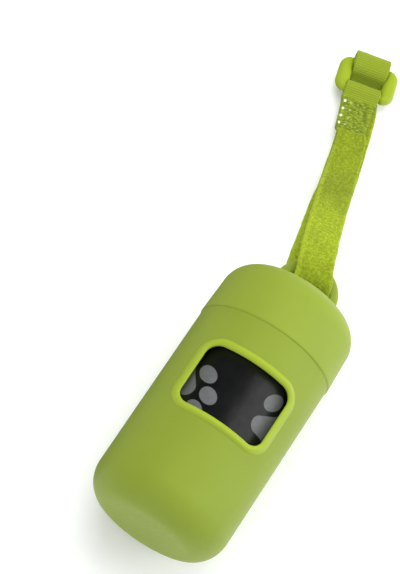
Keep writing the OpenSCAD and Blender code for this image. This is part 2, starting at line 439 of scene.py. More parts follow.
def cardboard_material():
    m, nt, b = new_material("cardboard")
    co = object_coords(nt)
    f1 = noise_node(nt, vec_math(nt, "MULTIPLY", co, (1.0, 0.25, 1.0)).outputs[0], 1500.0, 4.0, 0.65)
    f2 = noise_node(nt, co, 260.0, 3.0, 0.6)
    c = mix_colour(nt, map_range(nt, f1, 0.3, 0.7, 0.0, 1.0), (0.34, 0.25, 0.155), (0.52, 0.41, 0.28))
    c = mix_colour(nt, map_range(nt, f2, 0.45, 0.8, 0.0, 0.5), c, (0.26, 0.18, 0.10))
    nt.links.new(c, b.inputs["Base Color"])
    b.inputs["Roughness"].default_value = 0.86
    nt.links.new(bump(nt, f1, 0.00006, 0.7), b.inputs["Normal"])
    return m


def webbing_material():
    """brushed loop webbing. The strip attribute holds millimetres across and along, and
    zone says how much pile (x), weave ribs (y) and weld pattern (z) there is."""
    m, nt, b = new_material("webbing")
    at = attribute(nt, "strip").outputs["Vector"]
    zone = node(nt, "ShaderNodeSeparateXYZ")
    nt.links.new(attribute(nt, "zone").outputs["Vector"], zone.inputs[0])
    pile, ribs, weld = zone.outputs
    sep = node(nt, "ShaderNodeSeparateXYZ")
    nt.links.new(at, sep.inputs[0])
    across, along = sep.outputs[0], sep.outputs[1]
    co = object_coords(nt)
    # pile: tangled loops at a quarter of a millimetre, in drifts of a few millimetres
    warp = node(nt, "ShaderNodeTexNoise")
    warp.inputs["Scale"].default_value = 700.0
    warp.inputs["Detail"].default_value = 2.0
    nt.links.new(co, warp.inputs["Vector"])
    warped = vec_math(nt, "ADD", co, vec_math(nt, "MULTIPLY", warp.outputs["Color"], (0.0007, 0.0007, 0.0007)).outputs[0]).outputs[0]
    fibre = noise_node(nt, warped, 2300.0, 4.0, 0.62, 0.5)
    tuft = noise_node(nt, co, 1350.0, 3.0, 0.60, 0.15)
    drift = noise_node(nt, co, 190.0, 2.0, 0.55)
    light, mid, dark = (0.340, 0.420, 0.014), (0.228, 0.296, 0.006), (0.140, 0.192, 0.003)
    c = mix_colour(nt, map_range(nt, fibre, 0.34, 0.62, 0.0, 1.0), dark, mid)
    c = mix_colour(nt, map_range(nt, tuft, 0.46, 0.66, 0.0, 0.66), c, light)
    c = mix_colour(nt, map_range(nt, tuft, 0.46, 0.30, 0.0, 0.42), c, dark)
    c = mix_colour(nt, map_range(nt, drift, 0.50, 0.30, 0.0, 0.20), c, dark)
    c = mix_colour(nt, map_range(nt, drift, 0.50, 0.72, 0.0, 0.20), c, light)
    # painted light and shade: the colour is scaled up or down along the strap by the painted tone attribute
    painted_light_tone = attribute(nt, "painted_light_tone").outputs["Fac"]
    c = vec_math(nt, "MULTIPLY", c, math_node(nt, "ADD", math_node(nt, "MULTIPLY", painted_light_tone, 0.45), 1.0)).outputs[0]
    # painted highlight: the strap's edges are painted paler, the left more than the right, where the brushed-out pile
    # would catch the light
    rim = math_node(nt, "ADD", map_range(nt, across, 3.9, 5.0, 0.0, 0.55, True),
                    map_range(nt, across, -3.5, -5.0, 0.0, 0.90, True))
    rim = math_node(nt, "MULTIPLY", rim, map_range(nt, tuft, 0.36, 0.56, 0.35, 1.0))
    c = mix_colour(nt, math_node(nt, "MULTIPLY", rim, pile), c, light)
    # weave: ribs across the strap and finer yarns along it
    rib = math_node(nt, "SINE", math_node(nt, "MULTIPLY", along, 2 * math.pi / 0.64))
    rib = map_range(nt, rib, -1.0, 1.0, 0.0, 1.0)
    yarn = math_node(nt, "SINE", math_node(nt, "MULTIPLY", across, 2 * math.pi / 0.42))
    yarn = map_range(nt, yarn, -1.0, 1.0, 0.0, 1.0)
    weave = math_node(nt, "MULTIPLY", math_node(nt, "ADD", rib, math_node(nt, "MULTIPLY", yarn, 0.35)), 0.74)
    wcol = mix_colour(nt, weave, (0.158, 0.212, 0.006), (0.270, 0.345, 0.022))
    c = mix_colour(nt, ribs, c, mix_colour(nt, map_range(nt, fibre, 0.3, 0.7, 0.0, 0.35), wcol, mid))
    # weld: flattened and darker, with pale melted points
    wn = noise_node(nt, vec_math(nt, "MULTIPLY", at, (0.85, 2.3, 1.0)).outputs[0], 1.0, 3.0, 0.65, 0.3)
    weldc = mix_colour(nt, map_range(nt, wn, 0.40, 0.62, 0.0, 1.0), (0.098, 0.138, 0.004), (0.262, 0.335, 0.022))
    c = mix_colour(nt, weld, c, weldc)
    dots = attribute(nt, "dots").outputs["Fac"]
    c = mix_colour(nt, dots, c, (0.93, 0.97, 0.58))
    nt.links.new(c, b.inputs["Base Color"])
    nt.links.new(map_range(nt, dots, 0.0, 1.0, 0.82, 0.40), b.inputs["Roughness"])
    h = math_node(nt, "MULTIPLY", math_node(nt, "ADD", fibre, math_node(nt, "MULTIPLY", tuft, 0.8)), pile)
    n1 = bump(nt, h, 0.00028, 0.7)
    n2 = bump(nt, math_node(nt, "MULTIPLY", weave, ribs), 0.00010, 0.7, n1)
    n3 = bump(nt, math_node(nt, "MULTIPLY", wn, weld), 0.00025, 0.8, n2)
    nt.links.new(n3, b.inputs["Normal"])
    b.inputs["Sheen Weight"].default_value = 0.35
    b.inputs["Sheen Roughness"].default_value = 0.4
    b.inputs["Sheen Tint"].default_value = (0.80, 1.0, 0.30, 1.0)
    b.inputs["IOR"].default_value = 1.4
    return m


def hook_material():
    m, nt, b = new_material("hook_tape")
    co = object_coords(nt)
    vor = node(nt, "ShaderNodeTexVoronoi", feature="F1")
    vor.inputs["Scale"].default_value = 1400.0
    nt.links.new(co, vor.inputs["Vector"])
    c = mix_colour(nt, map_range(nt, vor.outputs["Distance"], 0.1, 0.6, 0.0, 1.0), (0.36, 0.45, 0.03), (0.12, 0.17, 0.006))
    nt.links.new(c, b.inputs["Base Color"])
    b.inputs["Roughness"].default_value = 0.6
    nt.links.new(bump(nt, vor.outputs["Distance"], 0.0003, 0.9), b.inputs["Normal"])
    return m


# ---------------------------------------------------------------- housing

WX, WY, WC, WR = 13.0, 9.6, -21.42, 3.5     # window: half sizes, centre along y, corner


def outline_distance(x, y, grow):
    """signed distance in plan to the window's outline, grown outward"""
    hx, hy, r = WX + grow, WY + grow, WR + grow
    qx, qy = np.abs(x) - (hx - r), np.abs(y - WC) - (hy - r)
    return np.hypot(np.maximum(qx, 0), np.maximum(qy, 0)) + np.minimum(np.maximum(qx, qy), 0) - r


def make_housing():
    N = 288
    rows_window = list(np.arange(-34.0, -8.99, 0.5))
    outer = [(r, -61.6) for r in (0.0, 0.6, 2, 4, 6, 8, 10, 11.4, 12.2)]
    outer += ellipse_quarter(RB, -52.4, 12.5, -61.6, 30)[::-1]
    outer += [(RB, y) for y in np.arange(-51.4, -34.4, 1.0)]
    outer += [(RB, y) for y in rows_window]
    outer += [(RB, y) for y in np.arange(-8.0, -1.0, 1.0)]
    outer += [(RB, -0.6)] + fillet(RB - 0.02, -0.02, 0.02, 0, 90, 3)
    neck = [(NECK + 0.15, 0.0), (NECK, 0.06), (NECK, 0.6), (NECK, 2.6), (NECK - 0.16, 2.85), (NECK - 0.22, 3.2),
            (NECK - 0.16, 3.55), (NECK, 3.8), (NECK, 5.45), (NECK - 0.1, 5.8), (NECK - 0.3, 5.97),
            (NECK - 0.5, 6.0), (IR + 0.22, 6.0), (IR + 0.06, 5.94), (IR, 5.75)]
    inner = [(IR, y) for y in (4.5, 3.0, 1.5, 0.0, -1.5, -3.0, -4.5, -6.0, -7.5)]
    inner += [(IR, y) for y in rows_window[::-1]]
    inner += [(IR, y) for y in np.arange(-35.0, -51.9, -1.0)]
    inner += ellipse_quarter(IR, -52.4, 12.5, -59.8, 20)
    inner += [(r, -59.8) for r in (11, 9, 7, 5, 3, 1, 0.0)]
    prof = outer + neck + inner
    prof = prof[1:-1]                                   # the two poles are given separately
    r = np.array([p[0] for p in prof])
    y = np.array([p[1] for p in prof])
    n_out = len(outer) - 1
    n_neck = len(neck)
    # inner rows are turned so that the window's sides stay upright through the wall
    w = np.zeros(len(prof))
    inner_y = y[n_out + n_neck:]
    w[n_out + n_neck:] = smooth01(inner_y, 4.0, -6.0) * smooth01(inner_y, -50.0, -38.0)
    phi = np.linspace(-math.pi, math.pi, N, endpoint=False)
    lim = math.radians(50)
    edge = math.asin(min(1.0, math.sin(lim) * RB / IR))
    turned = np.where(np.abs(phi) <= lim, np.arcsin(np.clip(np.sin(phi) * RB / IR, -1, 1)),
                      np.sign(phi) * (edge + (np.abs(phi) - lim) * (math.pi - edge) / (math.pi - lim)))
    verts = np.zeros((len(prof), N, 3))
    for i in range(len(prof)):
        a = phi * (1 - w[i]) + turned * w[i]
        verts[i, :, 0] = r[i] * np.sin(a)
        verts[i, :, 1] = y[i]
        verts[i, :, 2] = AZ + r[i] * np.cos(a)
    grow = 0.9
    x_out = RB * np.sin(phi)
    inside = np.zeros((len(prof), N), bool)
    in_rows = [i for i in range(len(prof)) if -34.1 < y[i] < -8.9 and (r[i] > RB - 0.01 or abs(r[i] - IR) < 0.01)]
    for i in in_rows:
        inside[i] = (outline_distance(x_out, y[i], grow) < 0) & (np.abs(phi) < math.radians(60))
    faces, cut = [], set()
    for i in range(len(prof) - 1):
        for j in range(N):
            k = (j + 1) % N
            if inside[i, j] and inside[i, k] and inside[i + 1, j] and inside[i + 1, k]:
                cut.add((i, j))
            else:
                faces.append((i * N + j, i * N + k, (i + 1) * N + k, (i + 1) * N + j))
    # points on the rim of the hole move onto the outline
    rim = set()
    for (i, j) in cut:
        for di, dj in ((-1, 0), (1, 0), (0, -1), (0, 1)):
            if (i + di, (j + dj) % N) not in cut:
                if di == -1: rim |= {(i, j), (i, (j + 1) % N)}
                if di == 1: rim |= {(i + 1, j), (i + 1, (j + 1) % N)}
                if dj == -1: rim |= {(i, j), (i + 1, j)}
                if dj == 1: rim |= {(i, (j + 1) % N), (i + 1, (j + 1) % N)}
    for (i, j) in rim:
        px, py = x_out[j], y[i]
        for _ in range(6):
            d = outline_distance(np.array([px]), np.array([py]), grow)[0]
            e = 1e-3
            gx = (outline_distance(np.array([px + e]), np.array([py]), grow)[0] - d) / e
            gy = (outline_distance(np.array([px]), np.array([py + e]), grow)[0] - d) / e
            px -= d * gx
            py -= d * gy
        verts[i, j] = (px, py, AZ + math.sqrt(r[i] ** 2 - px ** 2))
    # the wall of the hole joins outer and inner skin
    row_of = {}
    for i in in_rows:
        row_of[(round(y[i], 3), r[i] > RB - 0.01)] = i
    for (i, j) in cut:
        if r[i] < RB - 0.01:
            continue
        for di, dj in ((-1, 0), (1, 0), (0, -1), (0, 1)):
            if (i + di, (j + dj) % N) in cut:
                continue
            if di == -1: a, c = (i, j), (i, (j + 1) % N)
            elif di == 1: a, c = (i + 1, (j + 1) % N), (i + 1, j)
            elif dj == -1: a, c = (i + 1, j), (i, j)
            else: a, c = (i, (j + 1) % N), (i + 1, (j + 1) % N)
            ia, ic = row_of[(round(y[a[0]], 3), False)], row_of[(round(y[c[0]], 3), False)]
            faces.append((a[0] * N + a[1], c[0] * N + c[1], ic * N + c[1], ia * N + a[1]))
    flat = verts.reshape(-1, 3)
    pole0, pole1 = len(flat), len(flat) + 1
    flat = np.vstack([flat, [[0, -61.6, AZ], [0, -59.8, AZ]]])
    last = (len(prof) - 1) * N
    for j in range(N):
        k = (j + 1) % N
        faces.append((pole0, k, j))
        faces.append((pole1, last + j, last + k))
    used = np.zeros(len(flat), bool)
    for f in faces:
        used[list(f)] = True
    index = np.cumsum(used) - 1
    faces = [tuple(index[i] for i in f) for f in faces]
    ob = mesh_object("housing_shell", flat[used], faces, sharp_deg=38)
    return ob


def make_trim():
    """rounded lip and sleeve of the window, swept round its outline"""
    section = [(0.78, -1.75), (0.60, -1.4), (0.34, -0.9), (0.12, -0.55), (0.02, -0.35), (0.0, -0.22), (0.0, -0.14)]
    crown = catmull([(0.0, -0.14), (0.08, 0.06), (0.23, 0.26), (0.45, 0.43), (0.74, 0.56), (1.04, 0.64), (1.32, 0.66),
                     (1.58, 0.59), (1.82, 0.45), (2.04, 0.29), (2.24, 0.13), (2.40, 0.02), (2.50, -0.04)], 3)
    section += [tuple(p) for p in crown[1:]]
    section += [(2.3, -0.3), (1.5, -0.34), (0.95, -0.36), (0.89, -0.6), (0.88, -1.2), (0.88, -1.74)]
    pts, nrm = [], []
    hx, hy, r = WX, WY, WR
    corners = [(hx - r, hy - r, 0), (-(hx - r), hy - r, 90), (-(hx - r), -(hy - r), 180), (hx - r, -(hy - r), 270)]
    for n, (cx, cy, a0) in enumerate(corners):
        for a in np.linspace(a0, a0 + 90, 25):
            c, s = math.cos(math.radians(a)), math.sin(math.radians(a))
            pts.append((cx + r * c, cy + r * s))
            nrm.append((c, s))
        nx, ny, na = corners[(n + 1) % 4]
        c, s = math.cos(math.radians(a0 + 90)), math.sin(math.radians(a0 + 90))
        p0 = np.array([cx + r * c, cy + r * s])
        p1 = np.array([nx + r * c, ny + r * s])
        m = int(np.linalg.norm(p1 - p0) / 0.45)
        for k in range(1, m):
            q = p0 + (p1 - p0) * k / m
            pts.append(tuple(q))
            nrm.append((c, s))
    pts, nrm = np.array(pts), np.array(nrm)
    K = len(section)
    verts = np.zeros((len(pts), K, 3))
    for k, (d, h) in enumerate(section):
        q = pts + nrm * d
        rad = RB + h
        verts[:, k, 0] = q[:, 0]
        verts[:, k, 1] = q[:, 1] + WC
        verts[:, k, 2] = AZ + np.sqrt(np.maximum(rad ** 2 - q[:, 0] ** 2, 0))
    n = len(pts)
    faces = []
    for i in range(n):
        for k in range(K):
            a, c = (i + 1) % n, (k + 1) % K
            faces.append((i * K + k, a * K + k, a * K + c, i * K + c))
    crest = 1 - smooth01(np.array([d for d, h in section]), 1.8, 2.6)
    return mesh_object("window_lip", verts.reshape(-1, 3), faces, sharp_deg=50,
                       attrs={"crest": np.repeat(crest[None, :], n, 0).reshape(-1)})


# ---------------------------------------------------------------- cap

def tube(path, frames_a, frames_b, section):
    """sweeps section (list of (a, b) per point) along path with its two side directions"""
    n, K = len(path), len(section[0])
    v = np.zeros((n, K, 3))
    for i in range(n):
        for k, (a, b) in enumerate(section[i]):
            v[i, k] = path[i] + frames_a[i] * a + frames_b[i] * b
    faces = grid_faces(n, K)
    faces.append(tuple(range(K)))
    faces.append(tuple(range((n - 1) * K, n * K))[::-1])
    return v.reshape(-1, 3), faces


def rounded_section(w, h, r, n=5):
    out = []
    for cx, cy, a0 in ((w / 2 - r, h / 2 - r, 0), (-(w / 2 - r), h / 2 - r, 90),
                       (-(w / 2 - r), -(h / 2 - r), 180), (w / 2 - r, -(h / 2 - r), 270)):
        for a in np.linspace(a0, a0 + 90, n + 1):
            out.append((cx + r * math.cos(math.radians(a)), cy + r * math.sin(math.radians(a))))
    return out


def make_cap():
    outer = [(20.02, 0.06), (20.12, 0.0), (20.45, 0.0)] + catmull([(20.69, 0.0), (20.77, 0.05), (20.87, 0.15), (20.95, 0.29), (RC, 0.48)], 3).tolist()
    outer += [(RC + (20.6 - RC) * (yy / 11.3), yy) for yy in np.arange(1.0, 11.0, 1.0)]
    outer += ellipse_quarter(20.6, 11.3, 12.9, 19.4, 30)
    outer += [(r, 19.4) for r in (12, 10.5, 9, 7, 5, 3, 1)]
    inner = [(r, 17.6) for r in (1, 3, 5, 7, 9, 11)] + ellipse_quarter(IR, 11.3, 12.3, 17.6, 20)[::-1]
    inner += [(IR, yy) for yy in (10, 9, 8, 7, 6.55)] + [(IR + 0.08, 6.42), (IR + 0.3, 6.4), (19.8, 6.4), (19.95, 6.3)]
    inner += [(19.95, yy) for yy in (5, 4, 3, 2, 1, 0.5)]
    # outer skin from the rim to the top, inner skin back down to the rim
    prof = inner + outer
    r = np.array([p[0] for p in prof]); y = np.array([p[1] for p in prof])
    N = 256
    phi = np.linspace(0, 2 * math.pi, N, endpoint=False)
    v = np.stack([r[:, None] * np.sin(phi), np.repeat(y[:, None], N, 1), AZ + r[:, None] * np.cos(phi)], 2)
    faces = grid_faces(len(prof), N)
    flat = np.vstack([v.reshape(-1, 3), [[0, 17.6, AZ], [0, 19.4, AZ]]])
    p0, p1 = len(flat) - 2, len(flat) - 1
    last = (len(prof) - 1) * N
    for j in range(N):
        k = (j + 1) % N
        faces.append((p0, k, j))
        faces.append((p1, last + j, last + k))
    shell = (flat, faces)
    # bail: half-round arch with straight feet that flare into the cap
    R, bx = 8.15, 0.3
    path, fa, fb, sec = [], [], [], []
    base = rounded_section(3.2, 2.6, 1.1, 6)
    feet = list(np.linspace(18.0, 22.15, 22))
    for yy in feet[:-1]:
        path.append((bx + R, yy, AZ)); fa.append((1, 0, 0)); fb.append((0, 0, 1))
    for a in np.linspace(0, 180, 73):
        c, s = math.cos(math.radians(a)), math.sin(math.radians(a))
        path.append((bx + R * c, 22.15 + R * s, AZ)); fa.append((c, s, 0)); fb.append((0, 0, 1))
    for yy in feet[:-1][::-1]:
        path.append((bx - R, yy, AZ)); fa.append((-1, 0, 0)); fb.append((0, 0, 1))
    for p in path:
        rise = p[1] - 19.4
        flare = 0.75 * math.exp(-max(rise, 0.0) / 0.42) if rise < 2.7 else 0.0
        sec.append([(a * (1 + flare / 1.25), b * (1 + flare / 1.3)) for a, b in base])
    bail = tube(np.array(path, float), np.array(fa, float), np.array(fb, float), sec)
    verts, faces, _ = join_parts([shell, bail])
    return mesh_object("cap_shell", verts, faces, sharp_deg=40)


# ---------------------------------------------------------------- bag roll

ROLL_Z, ROLL_R, CORE_R = 20.75, 18.3, 7.0
ROLL_Y0, ROLL_Y1 = -54.3, 2.7


def make_roll():
    N = 320
    ys = list(np.arange(ROLL_Y0 + 0.5, ROLL_Y1 - 0.49, 0.75))
    prof = []                                           # (radius, y, part)
    radii = np.arange(CORE_R + 0.02, ROLL_R - 0.25, 0.3)
    for k, rr in enumerate(radii):
        prof.append((rr, ROLL_Y0 + 0.12 + 0.10 * math.sin(k * 2.4) + 0.08 * math.sin(k * 5.1 + 1), 1))
    prof += [(ROLL_R - 0.2, ROLL_Y0 + 0.12, 1), (ROLL_R - 0.06, ROLL_Y0 + 0.25, 0)]
    prof += [(ROLL_R, y, 0) for y in ys]
    prof += [(ROLL_R - 0.06, ROLL_Y1 - 0.25, 0), (ROLL_R - 0.2, ROLL_Y1 - 0.12, 1)]
    for k, rr in enumerate(radii[::-1]):
        prof.append((rr, ROLL_Y1 - 0.12 - 0.10 * math.sin(k * 2.1) - 0.08 * math.sin(k * 4.7 + 2), 1))
    r = np.array([p[0] for p in prof]); y = np.array([p[1] for p in prof]); part = np.array([p[2] for p in prof])
    phi = np.linspace(-math.pi, math.pi, N + 1)         # the last column repeats the first, for a clean print
    R = np.repeat(r[:, None], N + 1, 1)
    Y = np.repeat(y[:, None], N + 1, 1)
    P = np.repeat(phi[None, :], len(r), 0)
    # wound film: long shallow waves along the roll, and loose layer edges at its ends
    q = np.stack([np.sin(P) * 9, Y * 0.22, np.cos(P) * 9], 2).reshape(-1, 3)
    wave = noise3(q, 1.3, 3).reshape(R.shape) * 0.035 + noise3(q, 0.55, 5).reshape(R.shape) * 0.012
    R = R + np.where(part[:, None] == 0, wave - 0.05, 0)
    e = noise3(np.stack([np.sin(P) * R * 0.5, np.cos(P) * R * 0.5, R * 2.5], 2).reshape(-1, 3), 1.0, 9).reshape(R.shape)
    Y = Y + np.where(part[:, None] == 1, e * 0.10, 0)
    v = np.stack([R * np.sin(P), Y, ROLL_Z + R * np.cos(P)], 2)
    C = N + 1
    faces, mats = [], []
    for i in range(len(r) - 1):
        m = 1 if part[i] == 1 and part[i + 1] == 1 else 0
        for j in range(N):
            faces.append((i * C + j, i * C + j + 1, (i + 1) * C + j + 1, (i + 1) * C + j))
            mats.append(m)
    last = (len(r) - 1) * C
    for j in range(N):                                  # bore, against the core
        faces.append((last + j, last + j + 1, j + 1, j))
        mats.append(1)
    wound = np.stack([P * ROLL_R, Y, R], 2).reshape(-1, 3)
    ob = mesh_object("film_roll", v.reshape(-1, 3), faces, attrs={"wound": wound})
    ob.data.materials.append(MAT["film"])
    ob.data.materials.append(MAT["film_edges"])
    ob.data.polygons.foreach_set("material_index", np.array(mats, np.int32))
    return ob


def make_core():
    N = 128
    prof = [(5.92, -54.78), (6.1, -54.8), (6.45, -54.76), (6.8, -54.8), (6.97, -54.7), (6.97, -54.0)]
    prof += [(6.97, y) for y in np.linspace(-50, 0, 11)] + [(6.97, 3.1), (6.8, 3.2), (6.45, 3.15), (6.1, 3.2), (5.92, 3.18)]
    prof += [(5.9, y) for y in np.linspace(3.0, -54.6, 14)]
    r = np.array([p[0] for p in prof]); y = np.array([p[1] for p in prof])
    phi = np.linspace(0, 2 * math.pi, N, endpoint=False)
    P = np.repeat(phi[None, :], len(r), 0)
    R = np.repeat(r[:, None], N, 1)
    Y = np.repeat(y[:, None], N, 1)
    # a shallow butt line of the wound paper runs round the tube as a helix
    turn = ((P / (2 * math.pi) + Y / 34.0) % 1.0)
    R = R - 0.05 * np.exp(-((turn - 0.5) / 0.012) ** 2) * (R > 6.9)
    v = np.stack([R * np.sin(P), Y, ROLL_Z + R * np.cos(P)], 2)
    faces = []
    K = len(prof)
    for i in range(K):
        a = (i + 1) % K
        for j in range(N):
            k = (j + 1) % N
            faces.append((i * N + j, i * N + k, a * N + k, a * N + j))
    return mesh_object("cardboard_core", v.reshape(-1, 3), faces, sharp_deg=50)


def make_bag_end():
    """the loose end of the first bag: a thin leaf on the roll with a slightly wavy edge"""
    A = np.radians(np.linspace(50, 90, 60))             # round the roll, from the top towards +x and down
    Ys = np.linspace(ROLL_Y0 + 1.5, ROLL_Y1 - 1.5, 90)
    top, bot = [], []
    for i, yy in enumerate(Ys):
        for a in A:
            fr = (a - A[0]) / (A[-1] - A[0])
            lift = 0.05 * fr ** 3 * (1 + 0.6 * math.sin(yy * 0.9) + 0.4 * math.sin(yy * 2.3 + 1))
            a2 = a + 0.010 * math.sin(yy * 0.55) * fr
            for lst, rr in ((top, ROLL_R + 0.10 + lift), (bot, ROLL_R + 0.045 + lift)):
                lst.append((rr * math.sin(a2), yy, ROLL_Z + rr * math.cos(a2)))
    n, C = len(Ys), len(A)
    verts = np.array(top + bot)
    B = n * C
    faces = []
    for i in range(n - 1):
        for j in range(C - 1):
            faces.append((i * C + j, i * C + j + 1, (i + 1) * C + j + 1, (i + 1) * C + j))
            faces.append((B + i * C + j, B + (i + 1) * C + j, B + (i + 1) * C + j + 1, B + i * C + j + 1))
    for i in range(n - 1):
        faces.append((i * C, (i + 1) * C, B + (i + 1) * C, B + i * C))
        faces.append((i * C + C - 1, B + i * C + C - 1, B + (i + 1) * C + C - 1, (i + 1) * C + C - 1))
    for j in range(C - 1):
        faces.append((j, B + j, B + j + 1, j + 1))
        faces.append(((n - 1) * C + j, (n - 1) * C + j + 1, B + (n - 1) * C + j + 1, B + (n - 1) * C + j))
    ang = np.arctan2(verts[:, 0], verts[:, 2] - ROLL_Z)
    wound = np.stack([ang * ROLL_R, verts[:, 1], np.full(len(verts), ROLL_R)], 1)
    return mesh_object("first_bag_end", verts, faces, attrs={"wound": wound})


# ---------------------------------------------------------------- strap

TURN = math.radians(14.8)
BAIL_Y, OFF_X = 30.9, -1.9
BAR_S, BAR2, RING_Z, TILT, STRAP_T, STRAP_W = 65.0, 9.1, 5.0, math.radians(8.0), 1.1, 10.4
PEEL_S = 73.0


def on_strap(u, s, z):
    """a point of the strap's own frame: u across, s along from the bail, z up"""
    u, s, z = np.broadcast_arrays(np.asarray(u, float), np.asarray(s, float), np.asarray(z, float))
    return np.stack([OFF_X - s * math.sin(TURN) + u * math.cos(TURN),
                     BAIL_Y + s * math.cos(TURN) + u * math.sin(TURN), z], -1)


def arc(c, r, a0, a1, n):
    a = np.radians(np.linspace(a0, a1, n + 1))
    return np.stack([c[0] + r * np.cos(a), c[1] + r * np.sin(a)], 1)


def strap_route():
    turned = [(51, 3.75), (55, 3.72), (59, 3.55), (62, 3.2)]
    front = [(62.6, 6.15), (60, 5.35), (56, 5.0), (50, 5.1), (44, 6.0), (36, 8.6), (28, 12.2),
             (20, 16.2), (12, 20.2), (6, 23.2), (1, 25.1), (-3, 25.7)]
    back = [(-3, 16.6), (0, 16.1), (5, 14.6), (12, 11.2), (20, 7.0), (28, 3.9), (34, 2.7), (40, 2.5),
            (50, 2.5), (57, 2.4), (61, 1.9), (65, 1.75), (68, 2.3), (69.8, 3.9), (70.9, 5.8),
            (72.4, 6.95), (74.2, 7.15), (76, 6.75)]
    fold2 = [(77.5, 5.6), (78.0, 3.85), (77.5, 2.1), (76.2, 0.95), (74.6, 0.55)]
    k = 10
    parts = [catmull(turned, k), arc((BAR_S, RING_Z), 1.2 + 0.25 + 0.55, -100, 115, 40), catmull(front, k),
             arc((-5.0, AZ), 4.5, 100, 260, 40), catmull(back, k), catmull(fold2, k), [(PEEL_S + 0.25, 0.55)]]
    pts = np.vstack([np.asarray(p, float) for p in parts])
    keep = np.concatenate([[True], np.linalg.norm(np.diff(pts, axis=0), axis=1) > 1e-6])
    return pts[keep]


def smooth_line(p, n):
    p = p.copy()
    for _ in range(n):
        p[1:-1] = 0.25 * p[:-2] + 0.5 * p[1:-1] + 0.25 * p[2:]
    return p


def ribbon(name, line, lateral, zone_of, width_of, thick_of, painted_light_of, seed, step=0.22, across=52, offset=0.0):
    """a strip of webbing swept along line (s, z), with rounded edges, pile and ribs in its mesh"""
    pts, at = resample(line, step)
    pts = smooth_line(pts, 3)
    n = len(pts)
    tang = np.gradient(pts, axis=0)
    tang /= np.linalg.norm(tang, axis=1)[:, None]
    nrm = np.stack([-tang[:, 1], tang[:, 0]], 1)
    lat, wid, thk = lateral(at, pts), width_of(at), thick_of(at)
    pile, ribs, weld = zone_of(at)
    # one ring: the near face, an edge, the far face, the other edge
    e = 5
    uu = np.linspace(-1, 1, across)
    ring_u, ring_n = [], []
    for q in uu: ring_u.append(q); ring_n.append(1.0)
    for a in np.linspace(90, -90, e + 2)[1:-1]: ring_u.append(("R", math.cos(math.radians(a)))); ring_n.append(math.sin(math.radians(a)))
    for q in uu[::-1]: ring_u.append(q); ring_n.append(-1.0)
    for a in np.linspace(-90, -270, e + 2)[1:-1]: ring_u.append(("L", -math.cos(math.radians(a)))); ring_n.append(math.sin(math.radians(a)))
    K = len(ring_u)
    half_t = thk / 2
    U = np.zeros((n, K)); Nn = np.zeros((n, K))
    for k in range(K):
        flat = wid / 2 - half_t
        if isinstance(ring_u[k], tuple):
            side, c = ring_u[k]
            U[:, k] = (flat + half_t * c) if side == "R" else -(flat + half_t * c)
        else:
            U[:, k] = flat * ring_u[k]
        Nn[:, k] = half_t * ring_n[k]
    along = np.repeat((at + offset)[:, None], K, 1)
    # pile on both faces, stronger on the near one; edges are matted
    q = np.stack([U, along, Nn * 2.0], 2).reshape(-1, 3)
    fuzz = (0.55 * noise3(q, 0.34, seed) + 0.45 * noise3(q, 0.75, seed + 1) + 0.12 * noise3(q, 2.6, seed + 2)).reshape(U.shape)
    rib = np.sin(along * 2 * math.pi / 0.64)
    push = 0.085 * fuzz * pile[:, None] + 0.030 * rib * ribs[:, None] - 0.10 * weld[:, None] \
        + 0.05 * weld[:, None] * noise3(q, 0.45, seed + 4).reshape(U.shape)
    # pitch of the weld points: 2.5 mm along, 2.3 mm across
    dots = np.zeros_like(U)
    if weld.max() > 0:
        for r_i in range(5):
            c_at = WELD_AT + 2.44 * r_i
            for c_i in range(5):
                cu = -4.1 + 2.2 * c_i + 0.25 * ((r_i * 7 + c_i * 3) % 3 - 1) * (c_i > 0)
                d = np.hypot(U - cu, along - c_at)
                size = (0.43, 0.34, 0.26, 0.22, 0.2)[c_i]
                bright = (1.0, 0.26, 0.14, 0.10, 0.06)[c_i] if r_i < 4 else 0.0
                spot = 1 - smooth01(d, size * 0.75, size * 1.15)
                spot = spot * (Nn < 0)
                dots = np.maximum(dots, spot * bright)
                push = push - 0.16 * spot * weld[:, None]
    normal_n = np.sign(Nn) * np.minimum(1.0, np.abs(Nn) / np.maximum(half_t[:, None], 1e-6))
    Nn = Nn + push * normal_n
    edge = np.clip((np.abs(U) - (wid[:, None] / 2 - half_t[:, None])) / half_t[:, None], 0, 1)
    U = U + np.sign(U) * edge * push * 0.9
    ss = pts[:, 0][:, None] + Nn * nrm[:, 0][:, None]
    zz = pts[:, 1][:, None] + Nn * nrm[:, 1][:, None]
    v = on_strap(U + lat[:, None], ss, zz)
    strip = np.stack([U, along, Nn], 2).reshape(-1, 3)
    zone = np.stack([np.repeat(pile[:, None], K, 1), np.repeat(ribs[:, None], K, 1), np.repeat(weld[:, None], K, 1)], 2).reshape(-1, 3)
    faces = grid_faces(n, K)
    faces.append(tuple(range(K)))
    faces.append(tuple(range((n - 1) * K, n * K))[::-1])
    ob = mesh_object(name, v.reshape(-1, 3), faces,
                     attrs={"strip": strip, "zone": zone, "dots": dots.reshape(-1),
                            "painted_light_tone": np.repeat(painted_light_of(at, pts)[:, None], K, 1).reshape(-1)})
    outward(ob)
    return ob, at, pts


WELD_AT = 0.0        # set below, where the route is known


